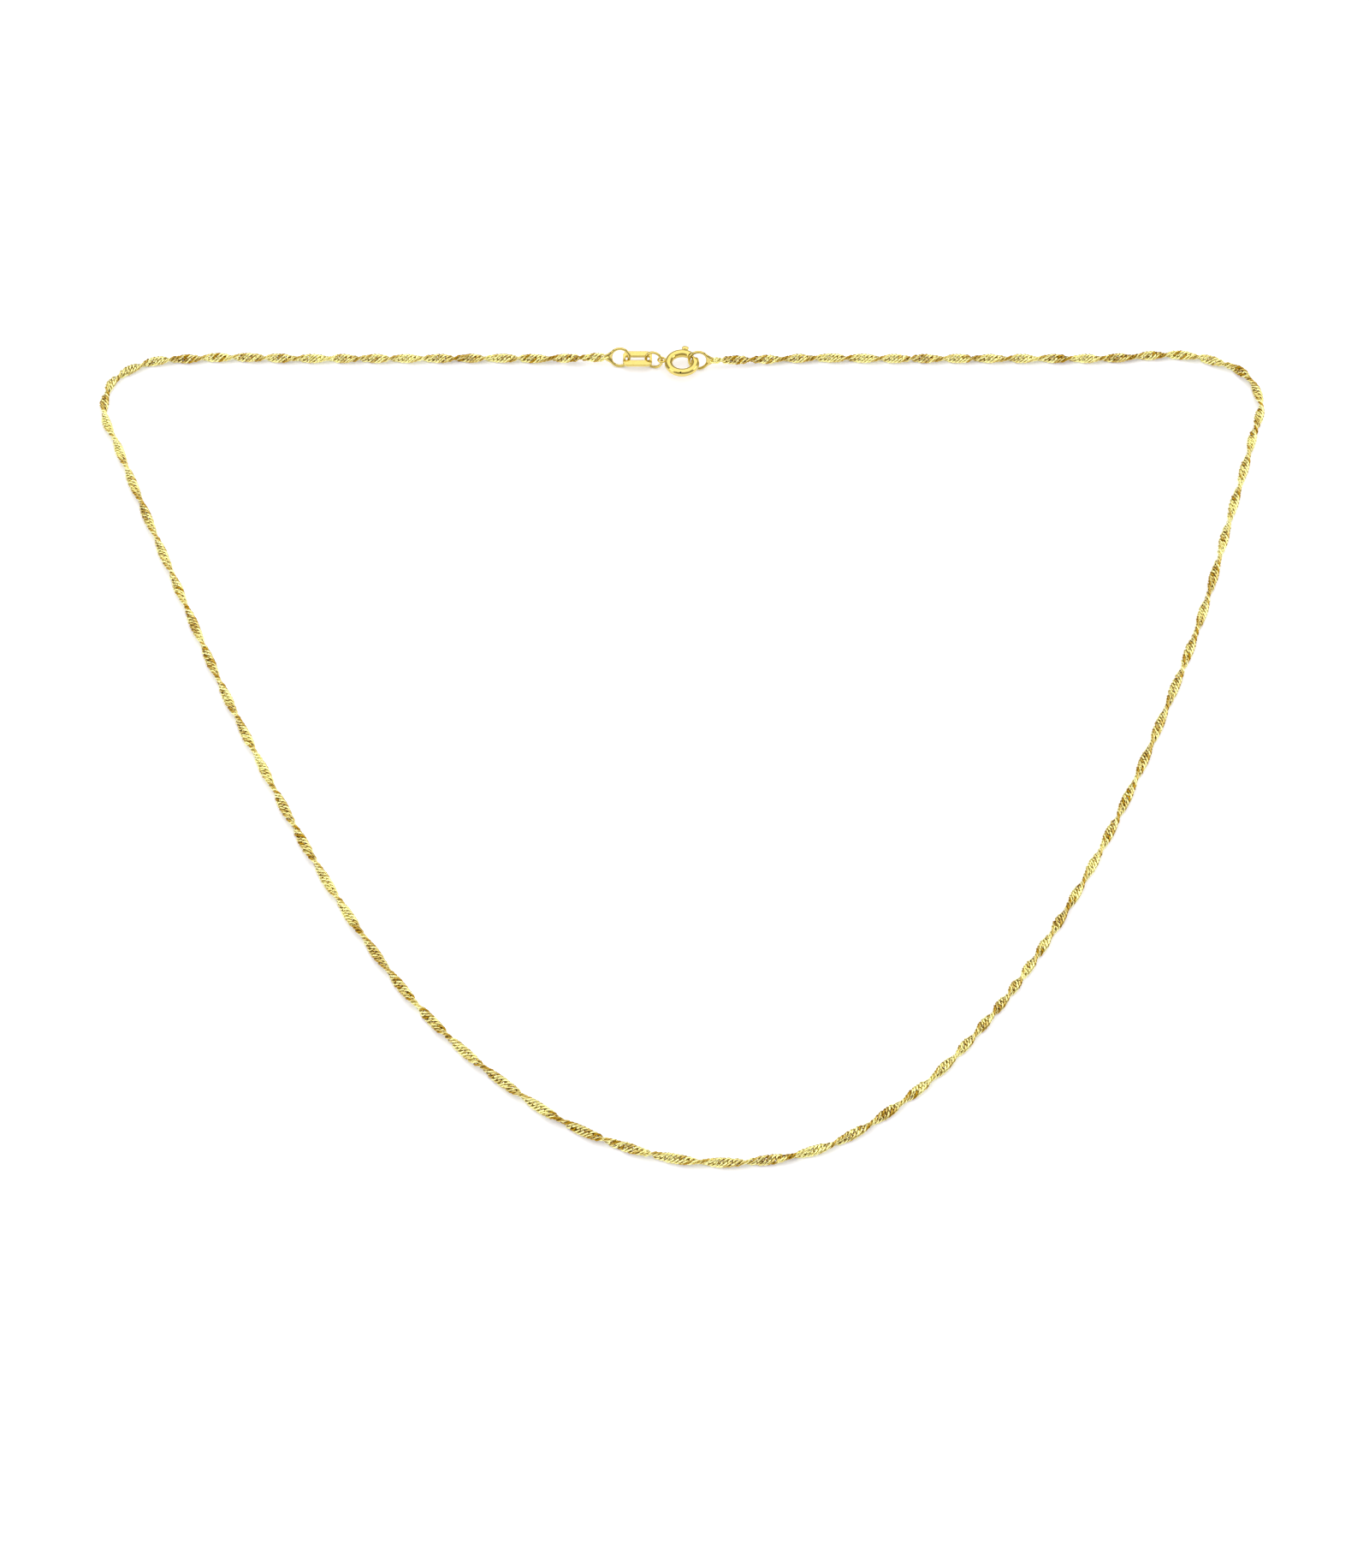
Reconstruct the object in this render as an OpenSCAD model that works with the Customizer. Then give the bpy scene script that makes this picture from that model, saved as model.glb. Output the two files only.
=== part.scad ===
// Singapore chain: a twisted ribbon of close curb links, laid in a loop and shut with a spring ring.
// Millimetres. The loop lies on z = 0 with its middle at the origin and the clasp at the far side, +Y.

/* [Loop] */
// Width of the laid loop, between the chain's outermost lines
loop_w = 165; // [140:1:190]
// Depth of the laid loop, from the clasp's row to the far bend
loop_depth = 143; // [120:1:170]

/* [Chain] */
// Width of the twisted ribbon of links
ribbon_w = 1.4; // [1.0:0.05:2.0]
// Thickness of the ribbon of links
ribbon_t = 0.6; // [0.4:0.05:1.0]
// Length of one half turn of the ribbon where it lies relaxed
half_turn = 7.0; // [5:0.5:12]

/* [End rings] */
// Outer diameter of the soldered ring at each end of the chain
end_d = 3.1; // [2.9:0.1:3.8]
// Wire of the end rings
end_wire = 0.45; // [0.35:0.01:0.5]
// Lean of the left end ring out of the floor's plane, degrees
left_lean = 66; // [60:1:80]
// Lean of the right end ring, degrees
right_lean = 72; // [66:1:78]
// Length of the solder tip, past the ring
tip_l = 0.6; // [0.4:0.1:1.2]
// Width of the solder tip at the chain
tip_w = 0.85; // [0.6:0.05:1.0]

/* [Tag] */
// Length of the slotted tag
tag_l = 4.2; // [3.6:0.1:6]
// Width of the tag
tag_w = 2.8; // [2.4:0.1:3.2]
// Thickness of the tag
tag_t = 0.45; // [0.3:0.01:0.46]
// Width of the tag's slot
slot_w = 0.84; // [0.82:0.01:1.2]
// Metal left at each end of the slot
tag_end = 0.35; // [0.25:0.01:0.4]
// Radius of the tag's corners
tag_r = 0.8; // [0.4:0.1:1.1]

/* [Jump ring] */
// Outer diameter of the jump ring
jump_d = 2.8; // [2.7:0.1:3.6]
// Wire of the jump ring
jump_wire = 0.42; // [0.35:0.01:0.44]
// Lean of the jump ring, degrees
jump_lean = 76; // [72:1:84]
// Turn of the jump ring about the vertical, degrees
jump_turn = -18; // [-22:1:0]
// Gap of the jump ring's open joint, degrees
jump_cut = 4; // [2:1:8]

/* [Spring ring] */
// Outer diameter of the spring ring
clasp_d = 5.0; // [4.8:0.1:7]
// Diameter of its hollow tube
tube_d = 1.16; // [1.0:0.01:1.2]
// Wall of the tube
tube_wall = 0.17; // [0.12:0.01:0.22]
// Where the mouth starts, degrees anticlockwise from +X
mouth_from = 18; // [14:1:22]
// Where the mouth ends, at the tube's dark open end, degrees
mouth_to = 52; // [48:1:58]
// Outer diameter of the eyelet
eye_d = 1.25; // [1.2:0.01:1.6]
// Wire of the eyelet
eye_wire = 0.3; // [0.25:0.01:0.32]
// Where the eyelet is soldered on, degrees
eye_at = 168; // [160:1:176]
// Diameter of the crimp's hole in the tube
crimp_d = 0.3; // [0.2:0.01:0.4]

/* [Trigger] */
// Wire of the sliding trigger
trigger_wire = 0.5; // [0.4:0.01:0.55]
// Where the thumb tab stands at rest, degrees
thumb_at = 81; // [78:1:86]
// How far the trigger slides back, degrees
trigger_travel = 38; // [30:1:42]
// Width of the thumb tab, along the ring
thumb_w = 1.0; // [0.8:0.05:1.2]
// Height of the thumb tab, away from the ring
thumb_h = 0.75; // [0.5:0.05:1.0]
// Thickness of the thumb tab
thumb_t = 0.45; // [0.35:0.01:0.6]

/* [Hidden] */

gold = "#E3BE5C";
pale_gold = "#EDD07A";
gap = 0.1;           // between the chain and each solder tip, and round the trigger's post
reach = 0.9;         // how far each end of the tag lies inside its ring's outermost wire line
round_fn = 96;

// The route further down is laid out for a loop of this width and depth
route_w = 165;
route_depth = 143;
clasp_y = 69.2 * loop_depth / route_depth;

// Wire lines, each the radius at which a ring's wire runs
end_r = (end_d - end_wire) / 2;
jump_r = (jump_d - jump_wire) / 2;
tube_r = (clasp_d - tube_d) / 2;
eye_r = (eye_d - eye_wire) / 2;
eye_sink = tube_wall * 0.7;

// A leaning ring stands on the floor with its lowest wire, and the others hang from it
function ring_rise(r, wire, lean) = r * sin(lean) + wire / 2;

// The right end ring passes over the trigger's wire and under the tube, so it sits a little low
hook_shift = 1;
hook_at = (mouth_from + mouth_to) / 2 - hook_shift;
hook_r = tube_r - trigger_wire / 2 - end_wire;
hook_drop = (tube_d - trigger_wire) / 4;
right_at = [hook_r * cos(hook_at) + end_r, clasp_y + hook_r * sin(hook_at),
    ring_rise(end_r, end_wire, right_lean)];
clasp_at = [0, clasp_y, right_at.z + hook_drop];

// The eyelet lies in the spring ring's plane, and the jump ring's outer wire runs through it
eye_out = clasp_d / 2 + eye_d / 2 - eye_sink;
eye_place = clasp_at + eye_out * [cos(eye_at), sin(eye_at), 0];
jump_rise = ring_rise(jump_r, jump_wire, jump_lean);
jump_up = (eye_place.z - jump_rise) / sin(jump_lean);
jump_out = sqrt(jump_r * jump_r - jump_up * jump_up);
jump_over = jump_up * cos(jump_lean);
jump_at = [eye_place.x - jump_out * cos(jump_turn) + jump_over * sin(jump_turn),
    eye_place.y - jump_out * sin(jump_turn) - jump_over * cos(jump_turn), jump_rise];

// The tag hangs between the jump ring and the left end ring
tag_at = [jump_at.x - jump_r * cos(jump_turn) + reach - tag_l / 2,
    jump_at.y - jump_r * sin(jump_turn) - gap / 2, 1.22];
left_at = [tag_at.x - tag_l / 2 + reach - end_r, tag_at.y + gap, ring_rise(end_r, end_wire, left_lean)];

// The chain starts and ends just off the solder tips
tip_out = end_d / 2 + tip_l;
chain_from = left_at - [tip_out + gap, 0, 0];
chain_to = right_at + [tip_out + gap, 0, 0];

// Places on the floor that the loop passes over, chosen by hand, from the left tip round to the right tip
route = [[-22, 71], [-38, 71], [-54, 71], [-70, 71], [-77, 70], [-81.5, 66.5], [-82.5, 61], [-80, 53.5],
    [-74.5, 38.5], [-69, 24], [-63, 8.5], [-56.5, -6.5], [-50, -20.5], [-42.5, -34.5], [-34, -47.5],
    [-24, -58.5], [-12, -67.5], [2.5, -72], [17.5, -70], [30, -61], [41, -47.5], [50.5, -31.5],
    [59, -13.5], [66, 4.5], [72, 22], [77, 40.5], [81, 55.5], [82.5, 62.5], [80.5, 68], [75, 71],
    [60, 71], [45, 71], [30, 71], [16, 71]];

// Half turns by share of the chain's length: [share, length as a share of half_turn]
half_turns = [[0, 0.65], [0.11, 0.65], [0.15, 0.58], [0.19, 1.03], [0.42, 1.0], [0.5, 0.86],
    [0.55, 0.78], [0.60, 0.5], [0.64, 0.8], [0.68, 1.0], [0.79, 1.03], [0.83, 0.6], [0.88, 0.66],
    [1, 0.65]];

ring_step = 1.5;     // distance between the sections of the chain's solid
sides = 8;

// The loop's points in space: the ribbon's line runs as high above the floor as its corners reach
ribbon_h = norm([ribbon_w / 2, ribbon_t / 2 * tan(180 / sides)]);
line = concat([chain_from],
    [for (p = route) [p.x * loop_w / route_w, p.y * loop_depth / route_depth, ribbon_h]], [chain_to]);
last = len(line) - 1;

function unit(v) = v / norm(v);
function level(v) = [v.x, v.y, 0];
function span(i) = norm(line[i + 1] - line[i]);
function heading(i) =
    i == 0 ? unit(line[1] - line[0]) :
    i == last ? unit(line[last] - line[last - 1]) :
    level((line[i] - line[i - 1]) / span(i - 1) * span(i) + (line[i + 1] - line[i]) / span(i) * span(i - 1))
        / (span(i - 1) + span(i));

// A smooth curve between two points that leaves and arrives along their headings
function along(i, u) =
    (2 * pow(u, 3) - 3 * pow(u, 2) + 1) * line[i]
    + (pow(u, 3) - 2 * pow(u, 2) + u) * span(i) * heading(i)
    + (3 * pow(u, 2) - 2 * pow(u, 3)) * line[i + 1]
    + (pow(u, 3) - pow(u, 2)) * span(i) * heading(i + 1);

centre = [
    for (i = [0 : last - 1]) let (steps = ceil(span(i) / ring_step))
        for (k = [0 : steps - 1]) along(i, k / steps),
    line[last]];
rings = len(centre);
arcs = [for (i = 0, s = 0; i < rings;
    s = i + 1 < rings ? s + norm(centre[i + 1] - centre[i]) : s, i = i + 1) s];
chain_l = arcs[rings - 1];

// How far the ribbon has turned at each section, left-handed
function turn_over(i) = 180 * (arcs[i + 1] - arcs[i])
    / (half_turn * lookup((arcs[i] + arcs[i + 1]) / 2 / chain_l, half_turns));
turns = [for (i = 0, a = 0; i < rings; a = i + 1 < rings ? a - turn_over(i) : a, i = i + 1) a];

// One section: a flat eight-sided outline turned about the chain's line
function section(i) =
    let (
        ahead = unit(centre[min(i + 1, rings - 1)] - centre[max(i - 1, 0)]),
        across = unit(cross([0, 0, 1], ahead)),
        up = cross(ahead, across),
        a = turns[i])
    [for (k = [0 : sides - 1])
        let (
            b = (k + 0.5) * 360 / sides,
            x = ribbon_w / 2 * cos(b) / cos(180 / sides),
            y = ribbon_t / 2 * sin(b) / cos(180 / sides))
        centre[i] + across * (x * cos(a) - y * sin(a)) + up * (x * sin(a) + y * cos(a))];

module chain() {
    skin = [for (i = [0 : rings - 1]) each section(i)];
    start_cap = [[for (k = [0 : sides - 1]) k]];
    end_cap = [[for (k = [sides - 1 : -1 : 0]) (rings - 1) * sides + k]];
    walls = [for (i = [0 : rings - 2]) for (k = [0 : sides - 1])
        let (a = i * sides + k, b = i * sides + (k + 1) % sides)
        each [[a, a + sides, b + sides], [a, b + sides, b]]];
    color(gold)
        polyhedron(points = skin, faces = concat(start_cap, walls, end_cap), convexity = 10);
}

// A ring of round wire in its own plane
module wire_ring(r, wire, from = 0, sweep = 360) {
    rotate([0, 0, from])
        rotate_extrude(angle = sweep, $fn = round_fn)
            translate([r, 0]) circle(d = wire, $fn = 24);
}

// The solder fillet that draws the ring out to a point, flat in the ring's plane
module solder_tip() {
    flare = end_r * 0.75;
    difference() {
        translate([0, 0, -end_wire * 0.44])
            linear_extrude(height = end_wire * 0.88)
                polygon([[end_r * 0.8, -flare], [tip_out, -tip_w / 2], [tip_out, tip_w / 2],
                    [end_r * 0.8, flare]]);
        cylinder(r = end_r, h = end_wire * 2, center = true, $fn = round_fn);
    }
}

// An end ring with its tip pointing along +X, leaning about X so that its +Y side rises
module end_ring(place, lean, facing) {
    color(pale_gold)
        translate(place) rotate([lean, 0, 0]) rotate([0, 0, facing])
            union() {
                wire_ring(end_r, end_wire);
                solder_tip();
            }
}

module end_ring_left() {
    end_ring(left_at, left_lean, 180);
}

module end_ring_right() {
    end_ring(right_at, right_lean, 0);
}

// Corner points of a rectangle with round corners
function round_corners(l, w, r) = [
    for (q = [[1, 1, 0], [-1, 1, 90], [-1, -1, 180], [1, -1, 270]])
        for (a = [0 : 15 : 90])
            [q.x * (l / 2 - r) + r * cos(q.z + a), q.y * (w / 2 - r) + r * sin(q.z + a)]];

module tag() {
    slot_l = tag_l - 2 * tag_end;
    color(pale_gold)
        translate(tag_at - [0, 0, tag_t / 2])
            difference() {
                linear_extrude(height = tag_t)
                    polygon(round_corners(tag_l, tag_w, tag_r));
                translate([0, 0, -tag_t])
                    linear_extrude(height = 3 * tag_t)
                        polygon(round_corners(slot_l, slot_w, slot_w * 0.3));
            }
}

module jump_ring() {
    jump_cut_at = 270;
    color(pale_gold)
        translate(jump_at) rotate([jump_lean, 0, jump_turn])
            wire_ring(jump_r, jump_wire, jump_cut_at + jump_cut / 2, 360 - jump_cut);
}

// The spring ring's hollow tube, open at the mouth, with a slot for the trigger's post
module spring_ring() {
    bore_d = tube_d - 2 * tube_wall;
    post_d = trigger_wire * 0.8;
    slot_turn = asin((post_d / 2 + gap) / (clasp_d / 2));
    slot_from = thumb_at - slot_turn;
    slot_sweep = trigger_travel + 2 * slot_turn;
    color(pale_gold)
        translate(clasp_at)
            difference() {
                union() {
                    rotate([0, 0, mouth_to])
                        rotate_extrude(angle = 360 - (mouth_to - mouth_from), $fn = round_fn)
                            translate([tube_r, 0])
                                difference() {
                                    circle(d = tube_d, $fn = 32);
                                    circle(d = bore_d, $fn = 32);
                                }
                    translate(eye_out * [cos(eye_at), sin(eye_at), 0])
                        wire_ring(eye_r, eye_wire);
                }
                rotate([0, 0, slot_from])
                    rotate_extrude(angle = slot_sweep, $fn = round_fn)
                        translate([tube_r + bore_d / 4, -post_d / 2 - gap / 2])
                            square([tube_d, post_d + gap]);
                rotate([0, 0, 265]) translate([tube_r, 0, 0]) rotate([0, 45, 0])
                    cylinder(d = crimp_d, h = tube_d, $fn = 24);
            }
}

// The trigger: a bent wire that closes the mouth, with a post and a flat thumb tab
module trigger() {
    tail = 14;
    lead = 13;
    wire_from = mouth_from - lead;
    color(gold)
        translate(clasp_at)
            union() {
                wire_ring(tube_r, trigger_wire, wire_from, thumb_at + tail - wire_from);
                rotate([0, 0, thumb_at]) {
                    translate([tube_r, 0, 0]) rotate([0, 90, 0])
                        cylinder(d = trigger_wire * 0.8, h = tube_d / 2 + gap + thumb_h / 2, $fn = 24);
                    translate([tube_r + tube_d / 2 + gap, 0, -thumb_t / 2])
                        linear_extrude(height = thumb_t)
                            translate([thumb_h / 2, 0])
                                polygon(round_corners(thumb_h, thumb_w, thumb_h * 0.36));
                }
            }
}

chain();
end_ring_left();
tag();
jump_ring();
spring_ring();
trigger();
end_ring_right();
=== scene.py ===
import math

import bmesh
import bpy
import numpy as np
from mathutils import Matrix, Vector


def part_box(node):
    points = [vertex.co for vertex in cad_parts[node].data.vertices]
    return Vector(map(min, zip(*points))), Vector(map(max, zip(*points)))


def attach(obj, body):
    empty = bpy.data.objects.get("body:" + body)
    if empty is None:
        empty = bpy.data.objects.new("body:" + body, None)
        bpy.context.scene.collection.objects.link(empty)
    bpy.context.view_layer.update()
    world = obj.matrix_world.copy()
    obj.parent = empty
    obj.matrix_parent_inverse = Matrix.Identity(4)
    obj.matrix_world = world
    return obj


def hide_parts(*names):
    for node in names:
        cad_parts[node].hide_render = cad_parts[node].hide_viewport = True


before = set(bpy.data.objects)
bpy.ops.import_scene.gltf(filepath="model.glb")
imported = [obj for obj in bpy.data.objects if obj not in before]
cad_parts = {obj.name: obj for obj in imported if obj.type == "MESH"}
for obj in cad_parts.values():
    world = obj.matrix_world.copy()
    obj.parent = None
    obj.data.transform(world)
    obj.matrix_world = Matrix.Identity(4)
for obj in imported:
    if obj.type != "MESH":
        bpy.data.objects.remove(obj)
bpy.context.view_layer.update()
print("frame loaded")

mm = 0.001
roundSteps = 6  # lines across each quarter-round edge or end
weldReach = 1e-7  # metres within which points count as one
tiny = 1e-9  # keeps a division clear of 0


# sRGB hex to linear: c/12.92 below 0.04045, ((c + 0.055)/1.055)^2.4 above
def hexToLinear(code):
    c = np.array([int(code[i:i + 2], 16) for i in (1, 3, 5)]) / 255
    linear = np.where(c < 0.04045, c / 12.92, ((c + 0.055) / 1.055) ** 2.4)
    return tuple(float(v) for v in linear) + (1.0,)


# one node: its settings, its fixed inputs and the wires that come into it
def addNode(tree, kind, settings=None, values=None, wires=None):
    node = tree.nodes.new(kind)
    for name, value in (settings or {}).items():
        setattr(node, name, value)
    for socket, value in (values or {}).items():
        node.inputs[socket].default_value = value
    for socket, source in (wires or {}).items():
        tree.links.new(source, node.inputs[socket])
    return node


# a new mesh object from whole arrays of points (n, 3) and quads (m, 4), in metres
def meshObject(name, points, quads, attributes=None):
    mesh = bpy.data.meshes.new(name)
    mesh.from_pydata(points.tolist(), [], quads.tolist())
    for key, values in (attributes or {}).items():
        layer = mesh.attributes.new(key, "FLOAT", "POINT")
        layer.data.foreach_set("value", np.ascontiguousarray(values, dtype=np.float32))
    mesh.shade_smooth()
    mesh.update()
    piece = bpy.data.objects.new(name, mesh)
    bpy.context.scene.collection.objects.link(piece)
    return piece


# quads of a grid with rows i and columns j: (i, j), (i+1, j), (i+1, j+1), (i, j+1), joined round where asked
def gridQuads(rows, columns, rowsClosed, columnsClosed):
    i, j = np.meshgrid(np.arange(rows if rowsClosed else rows - 1),
                       np.arange(columns if columnsClosed else columns - 1), indexing="ij")
    i2, j2 = (i + 1) % rows, (j + 1) % columns
    quads = np.stack([i * columns + j, i2 * columns + j, i2 * columns + j2, i * columns + j2], -1)
    return quads.reshape(-1, 4)


# turn points about X by the lean, then about Z by the turn, then shift them: p' = Rz Rx p + place
def leanAndPlace(points, lean, place, turn=0):
    c, s = math.cos(math.radians(lean)), math.sin(math.radians(lean))
    c2, s2 = math.cos(math.radians(turn)), math.sin(math.radians(turn))
    leaned = np.array([[1, 0, 0], [0, c, -s], [0, s, c]])
    turned = np.array([[c2, -s2, 0], [s2, c2, 0], [0, 0, 1]])
    return points @ (turned @ leaned).T + np.asarray(place)


# camera: the photo looks down at 50 degrees from 0.8 m, square to the clasp row
cameraSpec = dict(target=(0.00035, -0.0082, 0.0), distance=0.8, elevation=50, lens=135.9, sensor=36,
                  nearest=0.01)


# the camera stands at target + distance (0, -cos e, sin e) and is tipped back from straight down by 90 - e
def makeCamera(spec):
    camera = bpy.data.cameras.new("camera")
    camera.lens, camera.sensor_width, camera.clip_start = spec["lens"], spec["sensor"], spec["nearest"]
    holder = bpy.data.objects.new("camera", camera)
    e = math.radians(spec["elevation"])
    x, y, z = spec["target"]
    holder.location = (x, y - spec["distance"] * math.cos(e), z + spec["distance"] * math.sin(e))
    holder.rotation_euler = (math.pi / 2 - e, 0, 0)
    bpy.context.scene.collection.objects.link(holder)
    bpy.context.scene.camera = holder


# materials
# what every gold here shares: the grain of the finish, how far it sways the roughness, and its depth
grainSpec = dict(detail=3.0, roughness=0.6, sway=0.3, depthMm=0.02)
# 14 karat yellow gold, drawn to wire, linked and bright cut: mirror flats with a deep tone between the links,
# which is painted shade
chainGoldSpec = dict(bright="#FFFBB0", deep="#B0891A", roughness=0.12, grainMm=0.12, bump=0.06)
# the same gold, cast or rolled and tumble polished: a soft mirror with faint drag marks
polishedGoldSpec = dict(bright="#E4D388", deep="#D0B95E", roughness=0.13, grainMm=0.25, bump=0.05)
# the clasp's tube is the same polished gold outside; its inside is painted near-black, as painted shade
# within the hollow
tubeGoldSpec = dict(bright="#DCC874", deep="#2E1E08", roughness=0.13, grainMm=0.25, bump=0.05)


# colour = bright + (deep - bright) tone, where tone is an attribute or else the grain; the chain's attribute
# is painted shade with a painted reflection per link, the tube's is painted shade inside; roughness runs from
# (1 - sway) to (1 + sway) times its own value with the grain, which also gives the faint relief; of the Mix
# node's sockets, 0 is the share, 6 and 7 are the colours, and output 2 is the mixed one
def makeGold(name, spec, toneAttribute=None):
    material = bpy.data.materials.new(name)
    material.use_nodes = True
    tree = material.node_tree
    tree.nodes.clear()
    coords = addNode(tree, "ShaderNodeTexCoord")
    scale = 1 / (spec["grainMm"] * mm)
    grain = addNode(tree, "ShaderNodeTexNoise", {},
                    {"Scale": scale, "Detail": grainSpec["detail"], "Roughness": grainSpec["roughness"]},
                    {"Vector": coords.outputs["Object"]})
    if toneAttribute:
        tone = addNode(tree, "ShaderNodeAttribute", {"attribute_name": toneAttribute}).outputs["Fac"]
    else:
        tone = grain.outputs["Fac"]
    colour = addNode(tree, "ShaderNodeMix", {"data_type": "RGBA"},
                     {6: hexToLinear(spec["bright"]), 7: hexToLinear(spec["deep"])}, {0: tone})
    rough = addNode(tree, "ShaderNodeMapRange", {},
                    {"To Min": spec["roughness"] * (1 - grainSpec["sway"]),
                     "To Max": spec["roughness"] * (1 + grainSpec["sway"])},
                    {"Value": grain.outputs["Fac"]})
    bump = addNode(tree, "ShaderNodeBump", {},
                   {"Strength": spec["bump"], "Distance": grainSpec["depthMm"] * mm},
                   {"Height": grain.outputs["Fac"]})
    shader = addNode(tree, "ShaderNodeBsdfPrincipled", {}, {"Metallic": 1.0},
                     {"Base Color": colour.outputs[2], "Roughness": rough.outputs["Result"],
                      "Normal": bump.outputs["Normal"]})
    addNode(tree, "ShaderNodeOutputMaterial", {}, {}, {"Surface": shader.outputs["BSDF"]})
    return material


# stage: a white acrylic table, faintly lit from below so that shadows stay pale, and soft boxes
stageSpec = dict(size=4.0, floorColour="#FBFBFF", floorRoughness=0.55, floorSpecular=0.2,
                 glowColour="#DCE4FF", floorGlow=0.3, skyColour="#E8E1D0", skyStrength=0.53)
lightSpec = (
    # name, place, size, watts
    ("softBoxOver", (0.0, 0.25, 1.2), 2.4, 20.5),
    ("softBoxLeft", (-1.1, -0.35, 0.55), 0.7, 3.0),
    ("softBoxRight", (1.15, 0.1, 0.5), 0.6, 2.6),
)


# each soft box looks at the origin: tilt = atan2(level distance, height) and
# heading = atan2(-y, -x) - 90 degrees
def makeStage(spec, lights):
    material = bpy.data.materials.new("backlitWhiteAcrylic")
    material.use_nodes = True
    shader = material.node_tree.nodes["Principled BSDF"]
    shader.inputs["Base Color"].default_value = hexToLinear(spec["floorColour"])
    shader.inputs["Roughness"].default_value = spec["floorRoughness"]
    shader.inputs["Specular IOR Level"].default_value = spec["floorSpecular"]
    shader.inputs["Emission Color"].default_value = hexToLinear(spec["glowColour"])
    shader.inputs["Emission Strength"].default_value = spec["floorGlow"]
    half = spec["size"] / 2
    corners = np.array([[-half, -half, 0], [half, -half, 0], [half, half, 0], [-half, half, 0]])
    floor = meshObject("floor", corners, np.array([[0, 1, 2, 3]]))
    floor.data.materials.append(material)
    for name, place, size, watts in lights:
        light = bpy.data.lights.new(name, "AREA")
        light.size, light.energy = size, watts
        holder = bpy.data.objects.new(name, light)
        holder.location = place
        x, y, z = place
        holder.rotation_euler = (math.atan2(math.hypot(x, y), z), 0, math.atan2(-y, -x) - math.pi / 2)
        bpy.context.scene.collection.objects.link(holder)
    world = bpy.data.worlds.new("studio")
    world.use_nodes = True
    background = world.node_tree.nodes["Background"]
    background.inputs["Color"].default_value = hexToLinear(spec["skyColour"])
    background.inputs["Strength"].default_value = spec["skyStrength"]
    bpy.context.scene.world = world
    bpy.context.scene.view_settings.view_transform = "Standard"


# the loop's line, as in the part's source, in millimetres from the left tip round to the right tip
loopSpec = dict(
    route=[[-22, 71], [-38, 71], [-54, 71], [-70, 71], [-77, 70], [-81.5, 66.5], [-82.5, 61], [-80, 53.5],
           [-74.5, 38.5], [-69, 24], [-63, 8.5], [-56.5, -6.5], [-50, -20.5], [-42.5, -34.5], [-34, -47.5],
           [-24, -58.5], [-12, -67.5], [2.5, -72], [17.5, -70], [30, -61], [41, -47.5], [50.5, -31.5],
           [59, -13.5], [66, 4.5], [72, 22], [77, 40.5], [81, 55.5], [82.5, 62.5], [80.5, 68], [75, 71],
           [60, 71], [45, 71], [30, 71], [16, 71]],
    halfTurns=[[0, 0.65], [0.11, 0.65], [0.15, 0.58], [0.19, 1.03], [0.42, 1.0], [0.5, 0.86],
               [0.55, 0.78], [0.60, 0.5], [0.64, 0.8], [0.68, 1.0], [0.79, 1.03], [0.83, 0.6],
               [0.88, 0.66], [1, 0.65]],
    halfTurnMm=7.0, height=0.711, tipGap=0.1, stepsASpan=60, spare=1.0)


# where each solder tip ends: the outermost point of the end ring's box, on its middle line
def tipOf(node, side):
    low, high = np.array(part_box(node)) / mm
    middle = (low + high) / 2
    return np.array([low[0] if side < 0 else high[0], middle[1], middle[2]])


# cubic Hermite curve between points, level headings weighted by the lengths of the neighbouring spans;
# then the ribbon's turn: angle(s) = -integral of 180 / halfTurn(s) ds
def makeLoop(spec):
    out = np.array([spec["tipGap"], 0, 0])
    inner = np.array(spec["route"], dtype=float)
    inner = np.c_[inner, np.full(len(inner), spec["height"])]
    line = np.vstack([tipOf("end_ring_left", -1) - out, inner, tipOf("end_ring_right", 1) + out])
    step = np.diff(line, axis=0)
    span = np.linalg.norm(step, axis=1)[:, None]
    unit = step / span
    level = (unit[:-1] * span[1:] + unit[1:] * span[:-1]) / (span[:-1] + span[1:]) * [1, 1, 0]
    heading = np.vstack([unit[:1], level, unit[-1:]])
    u = (np.arange(spec["stepsASpan"]) / spec["stepsASpan"])[None, :, None]
    p0, p1 = line[:-1, None], line[1:, None]
    m0, m1 = (span * heading[:-1])[:, None], (span * heading[1:])[:, None]
    curve = ((2 * u**3 - 3 * u**2 + 1) * p0 + (u**3 - 2 * u**2 + u) * m0
             + (3 * u**2 - 2 * u**3) * p1 + (u**3 - u**2) * m1).reshape(-1, 3)
    curve = np.vstack([curve, line[-1:]])
    arc = np.r_[0, np.cumsum(np.linalg.norm(np.diff(curve, axis=0), axis=1))]
    table = np.array(spec["halfTurns"])
    length = arc[-1]
    half = spec["halfTurnMm"] * np.interp((arc[1:] + arc[:-1]) / 2 / length, table[:, 0], table[:, 1])
    turn = -np.r_[0, np.cumsum(np.pi * np.diff(arc) / half)]
    spare = spec["spare"]  # a little straight line past each end, so that an end link can reach its tip
    curve = np.vstack([curve[:1] - spare * heading[:1], curve, curve[-1:] + spare * heading[-1:]])
    arc = np.r_[-spare, arc, length + spare]
    turn = np.r_[turn[0], turn, turn[-1]]
    ahead = np.gradient(curve, axis=0)
    ahead /= np.linalg.norm(ahead, axis=1)[:, None]
    print("chain line", round(length, 1), "mm,", round(-turn[-1] / np.pi, 1), "half turns")
    return dict(arc=arc, curve=curve, ahead=ahead, turn=turn, length=length)


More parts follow.
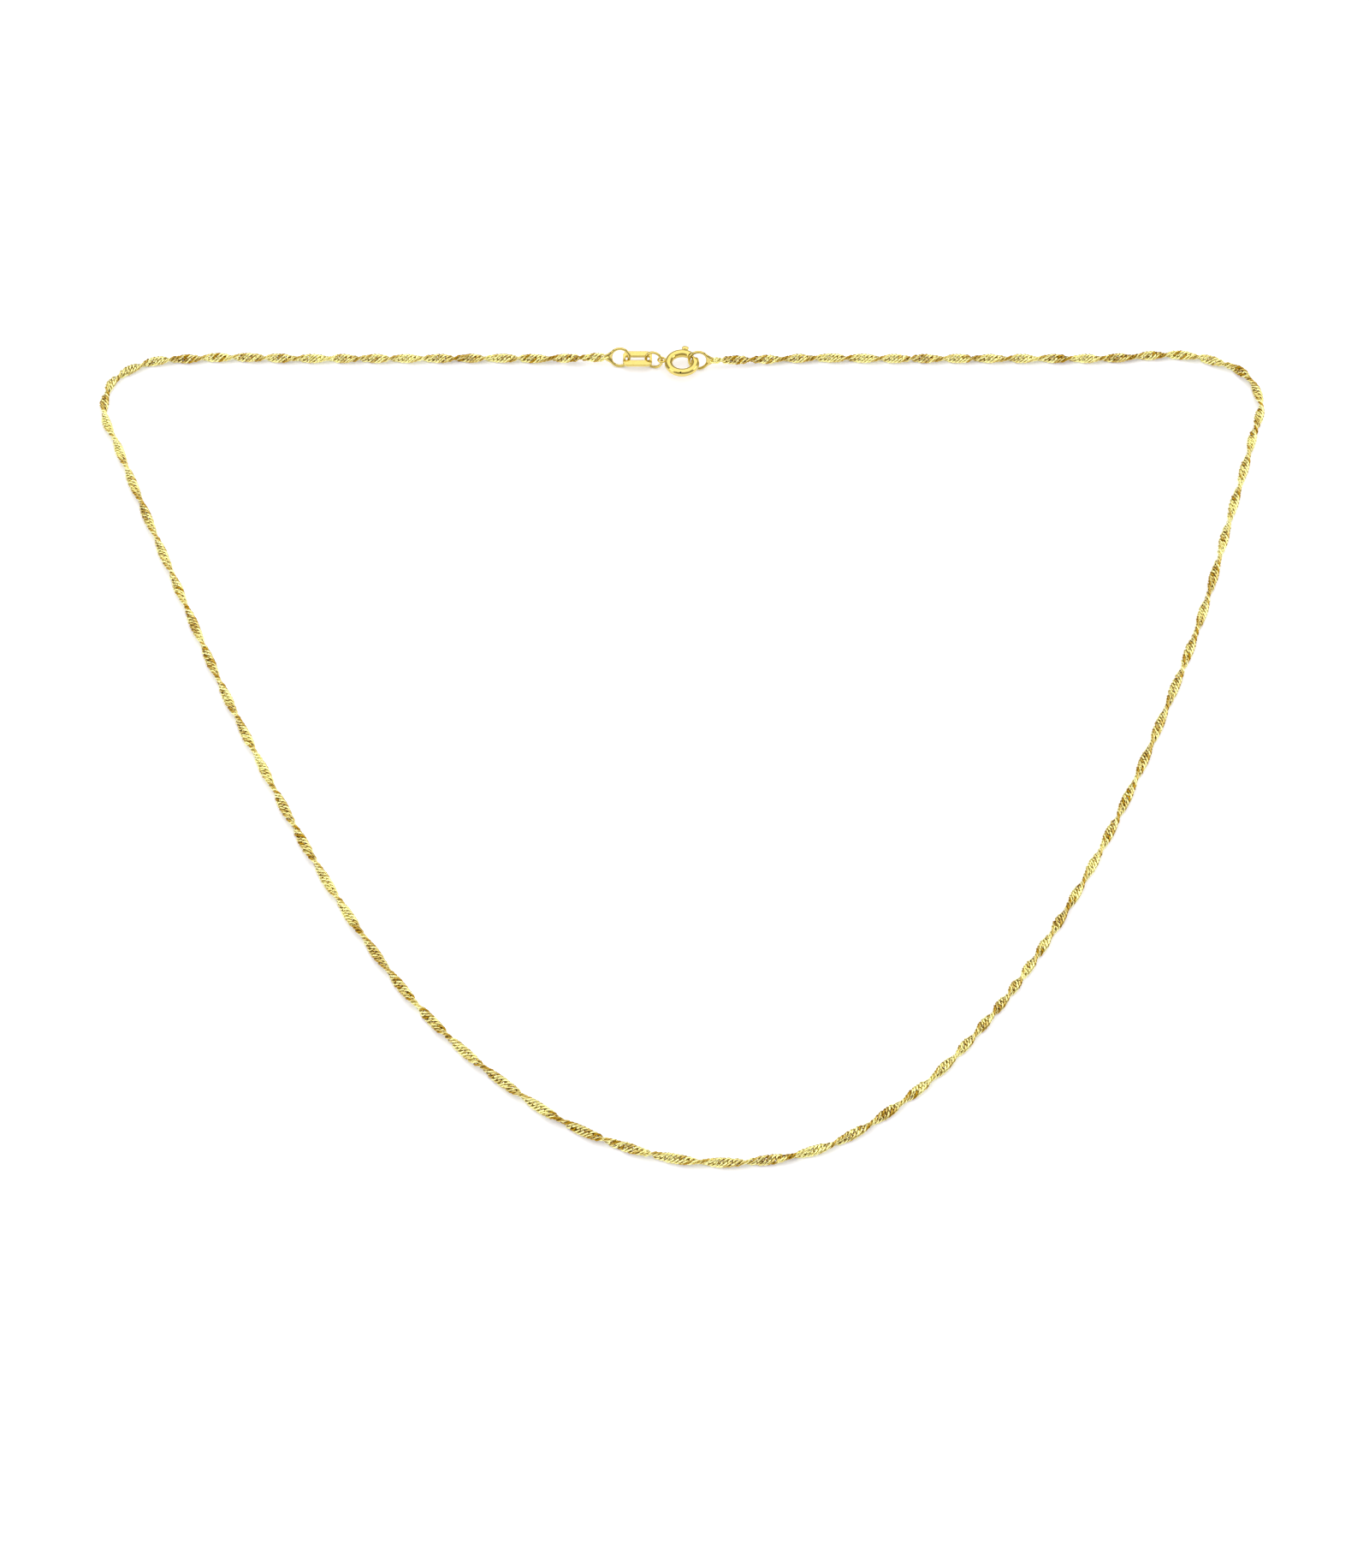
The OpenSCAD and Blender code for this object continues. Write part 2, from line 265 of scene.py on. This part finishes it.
# a point s along the ribbon, y across it and z through it:
# p = c(s) + across (y cos a - z sin a) + up (y sin a + z cos a)
def placeOnRibbon(loop, s, y, z):
    centre = np.stack([np.interp(s, loop["arc"], loop["curve"][:, k]) for k in range(3)], -1)
    ahead = np.stack([np.interp(s, loop["arc"], loop["ahead"][:, k]) for k in range(3)], -1)
    a = np.interp(s, loop["arc"], loop["turn"])
    across = np.cross([0.0, 0.0, 1.0], ahead)
    across /= np.linalg.norm(across, axis=-1, keepdims=True)
    up = np.cross(ahead, across)
    return (centre + across * (y * np.cos(a) - z * np.sin(a))[..., None]
            + up * (y * np.sin(a) + z * np.cos(a))[..., None])


# links: each passes through the two before it, so a link's inner length is over two pitches; sway and nod
# are how far, in degrees, one link may lean from the next, and sparkle how far its tone strays, a painted
# reflection that makes links lighter or darker at random
linkSpec = dict(pitch=0.62, reach=0.83, wire=0.34, width=1.44, lift=0.22, straight=0.06, cut=0.27, steps=16,
                sides=6, intoTip=0.8, sway=14.0, nod=5.0, sparkle=0.5, seed=7, level=0.85, flank=0.45)


# one link's wire: line (a (cos t + q cos 3t) / (1 + q), b (sin t - q sin 3t) / (1 + q), -h sin 2t), where q
# draws the strands straight from edge to edge; a round section is swept along it, and its highest metal
# cut flat at z = cut as a bright cut does; deep is painted shade, deep = 1 - (facing / level) (flank + (1 -
# flank) height / cut), so it is 0 on that flat and 1 where the wire turns away from it, darkening the wire's
# sides and the gaps between links
def linkGrid(spec):
    t = np.arange(spec["steps"]) * 2 * np.pi / spec["steps"]
    q = spec["straight"]
    line = np.stack([spec["reach"] * (np.cos(t) + q * np.cos(3 * t)) / (1 + q),
                     (spec["width"] - spec["wire"]) / 2 * (np.sin(t) - q * np.sin(3 * t)) / (1 + q),
                     -spec["lift"] * np.sin(2 * t)], -1)
    ahead = np.roll(line, -1, axis=0) - np.roll(line, 1, axis=0)
    ahead /= np.linalg.norm(ahead, axis=1)[:, None]
    outward = np.cross(ahead, [0.0, 0.0, 1.0])
    outward /= np.linalg.norm(outward, axis=1)[:, None]
    over = np.cross(outward, ahead)
    phi = np.arange(spec["sides"]) * 2 * np.pi / spec["sides"]
    grid = line[:, None] + spec["wire"] / 2 * (np.cos(phi)[None, :, None] * outward[:, None]
                                              + np.sin(phi)[None, :, None] * over[:, None])
    grid[..., 2] = np.clip(grid[..., 2], -spec["cut"], spec["cut"])
    # painted shade: the wire is darkened as its surface turns from the bright-cut flat and as it sinks below
    # it
    facing = np.abs(np.sin(phi)[None] * over[:, 2:])
    height = np.abs(grid[..., 2]) / spec["cut"]
    deep = 1 - np.clip(facing / spec["level"], 0, 1) * (spec["flank"] + (1 - spec["flank"]) * height)
    return grid, deep


# link k stands at first + k (last - first) / (count - 1) along the line, turned by its nod about y and its
# sway about x, and is then carried on to the ribbon: s = place + x, with y and z across and through it
def makeChain(spec, loop, material):
    grid, deep = linkGrid(spec)
    reach = grid[..., 0].max()
    first, last = reach - spec["intoTip"], loop["length"] - reach + spec["intoTip"]
    count = int(round((last - first) / spec["pitch"])) + 1
    at = np.linspace(first, last, count)
    draw = np.random.default_rng(spec["seed"])
    sway = np.radians(spec["sway"]) * draw.uniform(-1, 1, (count, 1, 1))
    nod = np.radians(spec["nod"]) * draw.uniform(-1, 1, (count, 1, 1))
    # painted reflection: each link's tone is shifted at random, lighter or darker, standing in for the glints
    # of its facets
    tone = spec["sparkle"] * draw.standard_normal((count, 1, 1))
    x, y, z = grid[None, ..., 0], grid[None, ..., 1], grid[None, ..., 2]
    x, z = x * np.cos(nod) + z * np.sin(nod), z * np.cos(nod) - x * np.sin(nod)
    y, z = y * np.cos(sway) - z * np.sin(sway), y * np.sin(sway) + z * np.cos(sway)
    points = placeOnRibbon(loop, at[:, None, None] + x, y, z)
    each = spec["steps"] * spec["sides"]
    quads = gridQuads(spec["steps"], spec["sides"], True, True)
    quads = (quads[None] + (np.arange(count) * each)[:, None, None]).reshape(-1, 4)
    # the deep attribute carries the painted shade and each link's painted reflection tone
    chain = meshObject("chainLinks", points.reshape(-1, 3) * mm, quads,
                       {"deep": np.clip(deep[None] + tone, 0, 1).ravel()})
    chain.data.materials.append(material)
    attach(chain, "necklace")
    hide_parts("chain")
    print("chain of", count, "links,", len(quads) * 2, "triangles")


# end rings: a ring of wire drawn out to a blunt wedge of solder, its hole kept round
endRingSpec = dict(outer=3.1, wire=0.45, tipOut=2.15, tipWidth=0.85, flare=(1.06, 0.99), tipHalf=60,
                   softness=0.12, leanLeft=66, leanRight=72, steps=180, sides=20)


# how far the outline lies past the ring at angle t: the soft larger of 0 and d = wedge(t) - outer / 2, that
# is (d + sqrt(d^2 + softness^2)) / 2, where wedge(t) is the nearer of the tip's end, tipOut / cos t, and the
# flank through the flare and the tip's corner; past tipHalf degrees from the tip it is 0
def wedgePast(spec, t):
    corner = np.array([spec["tipOut"], spec["tipWidth"] / 2])
    along = corner - spec["flare"]
    normal = np.array([-along[1], along[0]]) / np.hypot(*along)
    t = np.abs(t)
    flank = normal @ corner / np.maximum(normal[0] * np.cos(t) + normal[1] * np.sin(t), tiny)
    end = spec["tipOut"] / np.maximum(np.cos(t), tiny)
    past = np.minimum(flank, end) - spec["outer"] / 2
    return (past + np.sqrt(past**2 + spec["softness"]**2)) / 2 * (t < np.radians(spec["tipHalf"]))


# section at angle t: a round of half width (wire + past) / 2 about the radius (outer - wire + past) / 2
def makeEndRing(name, node, facing, lean, spec, material):
    low, high = np.array(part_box(node)) / mm
    middle = (low + high) / 2
    x = (low[0] + spec["outer"] / 2) if facing > 0 else (high[0] - spec["outer"] / 2)
    t = np.linspace(-np.pi, np.pi, spec["steps"], endpoint=False)
    phi = (np.arange(spec["sides"]) * 2 * np.pi / spec["sides"])[None]
    past = np.minimum(wedgePast(spec, t), spec["tipOut"] - spec["outer"] / 2)[:, None]
    t = t[:, None]
    radius = (spec["outer"] - spec["wire"] + past) / 2 + (spec["wire"] + past) / 2 * np.cos(phi)
    points = np.stack([radius * np.cos(t), radius * np.sin(t), spec["wire"] / 2 * np.sin(phi) + 0 * t], -1)
    points = points.reshape(-1, 3) * [facing, facing, 1]
    ring = meshObject(name, leanAndPlace(points, lean, [x, middle[1], middle[2]]) * mm,
                      gridQuads(spec["steps"], spec["sides"], True, True))
    ring.data.materials.append(material)
    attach(ring, "necklace")
    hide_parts(node)


# tag: a flat plate with a long slot and softly tumbled edges
tagSpec = dict(end=0.35, slotWidth=0.84, slotCorner=0.252, corner=0.8, edge=0.09, cornerSteps=9,
               straightSteps=9)


# points round a rectangle with round corners, as many on every side and corner: corner k is a quarter
# circle from 90 k degrees about (+-(length / 2 - corner), +-(width / 2 - corner)), and a straight row follows
def roundedOutline(length, width, corner, spec):
    a = np.radians(np.linspace(0, 90, spec["cornerSteps"]))
    corners = []
    for k, (sx, sy) in enumerate(((1, 1), (-1, 1), (-1, -1), (1, -1))):
        turn = a + k * np.pi / 2
        corners.append(np.stack([sx * (length / 2 - corner) + corner * np.cos(turn),
                                 sy * (width / 2 - corner) + corner * np.sin(turn)], -1))
    parts = []
    for k in range(4):
        start, end = corners[k][-1], corners[(k + 1) % 4][0]
        f = np.linspace(0, 1, spec["straightSteps"] + 2)[1:-1, None]
        parts += [corners[k], start + (end - start) * f]
    return np.vstack(parts)


# a closed section of quarter-round edges swept along two outlines at once: p = outer + (slot - outer) f,
# where f is inset / metal beside the outer outline and 1 - inset / metal beside the slot's
def makeTag(spec, material):
    low, high = np.array(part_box("tag")) / mm
    length, width, thick = high - low
    outer = roundedOutline(length, width, spec["corner"], spec)
    slot = roundedOutline(length - 2 * spec["end"], spec["slotWidth"], spec["slotCorner"], spec)
    across = slot - outer
    metal = np.linalg.norm(across, axis=1)[:, None]
    quarter = np.radians(np.linspace(0, 90, roundSteps))
    inset = spec["edge"] * (1 - np.sin(quarter))
    rise = thick / 2 - spec["edge"] * (1 - np.cos(quarter))
    share = np.hstack([inset[::-1] / metal, 1 - inset / metal])
    f = np.hstack([share, share[:, ::-1]])
    z = np.r_[rise[::-1], rise, -rise[::-1], -rise]
    xy = outer[:, None] + across[:, None] * f[..., None]
    points = np.concatenate([xy, np.broadcast_to(z[None, :, None], xy.shape[:2] + (1,))], -1)
    tag = meshObject("hallmarkTag", (points.reshape(-1, 3) + (low + high) / 2) * mm,
                     gridQuads(len(outer), len(z), True, True))
    tag.data.materials.append(material)
    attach(tag, "necklace")
    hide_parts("tag")


# clasp: a hollow tube bent to a ring, with its mouth, slot, crimp hole and soldered eyelet
claspSpec = dict(outer=5.0, tube=1.16, wall=0.17, mouthFrom=18, mouthTo=52, lip=0.03, lipTurn=0.8,
                 eyeOuter=1.25, eyeWire=0.3, eyeAt=168, eyeSink=0.119, eyeSteps=48, eyeSides=16,
                 slotFrom=73.3, slotSweep=53.4, slotHalf=0.25, crimpAt=265, crimpHigh=45, crimpHalf=0.15,
                 crimpLines=(-2, -1.4, -1, -0.5, 0, 0.5, 1, 1.4, 2), steps=160, sides=40)
triggerSpec = dict(wire=0.5, tail=14, lead=13, thumbAt=81, post=0.4, thumb=(0.75, 1.0, 0.45), gap=0.1,
                   squareness=0.75, steps=64, sides=20, tabSteps=14)
jumpSpec = dict(outer=2.8, wire=0.42, lean=76, turn=-18, cut=4, steps=96, sides=20)


# a ring or part of one, alpha along it and v round its section, in degrees;
# p = ((R + r cos v) cos alpha, (R + r cos v) sin alpha, r sin v)
def torusPoints(radius, section, alpha, v):
    alpha, v = np.radians(alpha), np.radians(v)
    out = radius + section * np.cos(v)
    return np.stack([out * np.cos(alpha), out * np.sin(alpha), section * np.sin(v) + 0 * alpha], -1)


# draws the grid's squares about a hole to circles: (p, q) in hole widths goes to
# (p, q) (1 - w + w m / length), with m = max(|p|, |q|) and w = 2 - m held between 0 and 1
def roundHole(alpha, v, middle, half):
    p, q = (alpha - middle[0]) / half[0] + 0 * v, (v - middle[1]) / half[1] + 0 * alpha
    m = np.maximum(np.abs(p), np.abs(q))
    w = np.clip(2 - m, 0, 1)
    pull = 1 - w + w * m / np.maximum(np.hypot(p, q), tiny)
    return middle[0] + p * pull * half[0], middle[1] + q * pull * half[1]


# an outer and an inner grid joined wherever a kept cell meets an open one: point (i, j) is i columns + j
# outside, and rows columns more inside
def shellQuads(kept, rows, columns):
    i, j = np.nonzero(kept)
    j2 = (j + 1) % columns
    inner = rows * columns
    outerFaces = np.stack([i * columns + j, (i + 1) * columns + j,
                           (i + 1) * columns + j2, i * columns + j2], -1)
    faces = [outerFaces, outerFaces[:, ::-1] + inner]
    padded = np.zeros((rows + 1, columns), bool)
    padded[1:-1] = kept
    for before, after, flip in ((padded[:-1], padded[1:], False), (padded[1:], padded[:-1], True)):
        i, j = np.nonzero(after & ~before)
        a, b = i * columns + j, i * columns + (j + 1) % columns
        rim = np.stack([a, b, b + inner, a + inner], -1)
        faces.append(rim[:, ::-1] if flip else rim)
    for shift, flip in ((1, True), (-1, False)):
        i, j = np.nonzero(kept & ~np.roll(kept, shift, axis=1))
        edge = j if shift == 1 else (j + 1) % columns
        a, b = i * columns + edge, (i + 1) * columns + edge
        rim = np.stack([a, b, b + inner, a + inner], -1)
        faces.append(rim[:, ::-1] if flip else rim)
    return np.vstack(faces)


# a bent wire with closed ends, p as in torusPoints: a rounded end goes on by r sin q as its section shrinks
# to r cos q, and a flat one ends in a row of no width
def bentWire(radius, wire, start, end, steps, sides, rounded):
    r = wire / 2
    alpha = np.linspace(start, end, steps)
    quarter = np.radians(np.linspace(0, 90, roundSteps))[1:]
    reach = np.degrees(r / radius) * np.sin(quarter) if rounded else np.array([0.0])
    shrink = r * np.cos(quarter) if rounded else np.array([0.0])
    alpha = np.r_[(start - reach)[::-1], alpha, end + reach]
    section = np.r_[shrink[::-1], np.full(steps, r), shrink]
    points = torusPoints(radius, section[:, None], alpha[:, None], np.arange(sides)[None] * 360 / sides)
    return points.reshape(-1, 3), gridQuads(len(alpha), sides, False, True)


# points that fall together become one, so that caps are closed
def weld(piece):
    work = bmesh.new()
    work.from_mesh(piece.data)
    bmesh.ops.remove_doubles(work, verts=work.verts, dist=weldReach)
    work.to_mesh(piece.data)
    work.free()


# several grids become one mesh
def joined(parts):
    offsets = np.cumsum([0] + [len(p) for p, q in parts[:-1]])
    return np.vstack([p for p, q in parts]), np.vstack([q + o for (p, q), o in zip(parts, offsets)])


# a clasp piece is welded, gets its metal and its body, and the node that it stands for is hidden
def dress(piece, node, body, material):
    weld(piece)
    piece.data.materials.append(material)
    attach(piece, body)
    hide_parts(node)


# where the spring ring's middle lies: its box is the ring's own on the right, near and far sides
def claspMiddle(spec):
    low, high = np.array(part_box("spring_ring")) / mm
    return np.array([high[0] - spec["outer"] / 2, low[1] + spec["outer"] / 2, (low[2] + high[2]) / 2])


# the tube is an outer and an inner torus, R = (outer - tube) / 2, from one side of the mouth round to the
# other, without the cells of the slot and of the crimp hole: |angle| < asin(half / r) round the section;
# the eyelet is a small torus soldered on at eyeAt; inside is painted shade, 0 on the outer wall and 1 on the
# inner
def makeSpringRing(spec, middle, material):
    radius = (spec["outer"] - spec["tube"]) / 2
    outer, inner = spec["tube"] / 2, spec["tube"] / 2 - spec["wall"]
    high = math.degrees(math.asin(spec["slotHalf"] / outer))
    crimpHalf = math.degrees(spec["crimpHalf"] / (radius + outer))
    crimpHigh = math.degrees(spec["crimpHalf"] / outer)
    slot = (spec["slotFrom"], spec["slotFrom"] + spec["slotSweep"])
    lines = np.array(spec["crimpLines"])
    ends = (spec["mouthTo"], spec["mouthFrom"] + 360)
    lipTurn = spec["lipTurn"]
    alpha = np.unique(np.r_[np.linspace(*ends, spec["steps"]), ends[0] + lipTurn, ends[1] - lipTurn, slot,
                            spec["crimpAt"] + crimpHalf * lines])
    v = np.unique(np.r_[np.arange(-180, 180, 360 / spec["sides"]), -high, high,
                        spec["crimpHigh"] + crimpHigh * lines])
    midAlpha = (alpha[:-1] + alpha[1:])[:, None] / 2
    midV = ((v + np.r_[v[1:], 180]) / 2)[None]
    inSlot = (midAlpha > slot[0]) & (midAlpha < slot[1]) & (np.abs(midV) < high)
    inCrimp = np.maximum(np.abs(midAlpha - spec["crimpAt"]) / crimpHalf,
                         np.abs(midV - spec["crimpHigh"]) / crimpHigh) < 1
    lip = np.zeros((len(alpha), 1))
    lip[[0, -1]] = spec["lip"]
    alpha, v = roundHole(alpha[:, None], v[None], (spec["crimpAt"], spec["crimpHigh"]),
                         (crimpHalf, crimpHigh))
    points = np.concatenate([torusPoints(radius, outer - lip, alpha, v),
                             torusPoints(radius, inner, alpha, v)])
    tube = (points.reshape(-1, 3), shellQuads(~(inSlot | inCrimp), *alpha.shape))
    eyeRadius = (spec["eyeOuter"] - spec["eyeWire"]) / 2
    out = spec["outer"] / 2 + spec["eyeOuter"] / 2 - spec["eyeSink"]
    at = math.radians(spec["eyeAt"])
    eye = torusPoints(eyeRadius, spec["eyeWire"] / 2,
                      np.arange(spec["eyeSteps"])[:, None] * 360 / spec["eyeSteps"],
                      np.arange(spec["eyeSides"])[None] * 360 / spec["eyeSides"])
    eye = (eye.reshape(-1, 3) + [out * math.cos(at), out * math.sin(at), 0],
           gridQuads(spec["eyeSteps"], spec["eyeSides"], True, True))
    points, quads = joined([tube, eye])
    # painted shade: the inner wall takes the tube's near-black colour
    inside = np.zeros(len(points))
    inside[len(tube[0]) // 2:len(tube[0])] = 1
    ring = meshObject("springRingTube", (points + middle) * mm, quads, {"inside": inside})
    dress(ring, "spring_ring", "necklace", material)


# s(c) = sign(c) |c|^e, which squares a circle as e falls below 1
def squared(c, squareness):
    return np.sign(c) * np.abs(c) ** squareness


# thumb tab: a squared pillow, (s(cos u) s(cos v), s(cos u) s(sin v), s(sin u)) times half its size
def pillow(size, squareness, steps):
    u = np.radians(np.linspace(-90, 90, steps))[:, None]
    v = np.radians(np.arange(2 * steps) * 180 / steps)[None]
    level = squared(np.cos(u), squareness)
    points = np.stack([level * squared(np.cos(v), squareness), level * squared(np.sin(v), squareness),
                       squared(np.sin(u), squareness) + 0 * v], -1) * np.array(size) / 2
    return points.reshape(-1, 3), gridQuads(steps, 2 * steps, False, True)[:, ::-1]


# a bent wire on the tube's own circle; the post is a round bar from the wire's line out to the middle of
# the tab, both built along x and then turned about z to the thumb's angle
def makeTrigger(spec, clasp, middle, material):
    radius = (clasp["outer"] - clasp["tube"]) / 2
    sides = spec["sides"]
    wire = bentWire(radius, spec["wire"], clasp["mouthFrom"] - spec["lead"], spec["thumbAt"] + spec["tail"],
                    spec["steps"], sides, True)
    tabAt = clasp["outer"] / 2 + spec["gap"] + spec["thumb"][0] / 2
    turn = np.arange(sides) * 2 * np.pi / sides
    reach = np.array([[radius, radius, tabAt, tabAt]]).T
    half = np.array([[0, spec["post"] / 2, spec["post"] / 2, 0]]).T
    post = np.stack([reach + 0 * turn, half * np.cos(turn), half * np.sin(turn)], -1)
    post = (post.reshape(-1, 3), gridQuads(len(reach), sides, False, True)[:, ::-1])
    tab, tabQuads = pillow(spec["thumb"], spec["squareness"], spec["tabSteps"])
    points, quads = joined([post, (tab + [tabAt, 0, 0], tabQuads)])
    a = math.radians(spec["thumbAt"])
    points = points @ np.array([[math.cos(a), math.sin(a), 0], [-math.sin(a), math.cos(a), 0], [0, 0, 1]])
    points, quads = joined([wire, (points, quads)])
    dress(meshObject("slidingTrigger", (points + middle) * mm, quads), "trigger", "trigger",
          material)


# a bent wire with flat ends, open by the cut at its lowest point, leaned and turned into its place
def makeJumpRing(spec, material):
    low, high = np.array(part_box("jump_ring")) / mm
    middle = (low + high) / 2
    points, quads = bentWire((spec["outer"] - spec["wire"]) / 2, spec["wire"], -90 + spec["cut"] / 2,
                             270 - spec["cut"] / 2, spec["steps"], spec["sides"], False)
    points = leanAndPlace(points, spec["lean"], middle, spec["turn"])
    dress(meshObject("openJumpRing", points * mm, quads), "jump_ring", "necklace", material)


makeCamera(cameraSpec)
makeStage(stageSpec, lightSpec)
# the chain's colour runs from bright to deep by the painted shade and painted reflection in its deep
# attribute
chainGold = makeGold("brightCutYellowGold", chainGoldSpec, "deep")
polishedGold = makeGold("tumblePolishedYellowGold", polishedGoldSpec)
# the tube's inner wall is painted dark as shade, by its inside attribute
tubeGold = makeGold("hollowTubeYellowGold", tubeGoldSpec, "inside")
print("stage and metals made")

loop = makeLoop(loopSpec)
makeChain(linkSpec, loop, chainGold)
makeEndRing("endRingLeft", "end_ring_left", -1, endRingSpec["leanLeft"], endRingSpec, polishedGold)
makeEndRing("endRingRight", "end_ring_right", 1, endRingSpec["leanRight"], endRingSpec, polishedGold)
makeTag(tagSpec, polishedGold)
print("chain ends made")

middle = claspMiddle(claspSpec)
makeSpringRing(claspSpec, middle, tubeGold)
makeTrigger(triggerSpec, claspSpec, middle, polishedGold)
makeJumpRing(jumpSpec, polishedGold)
print("clasp finished")
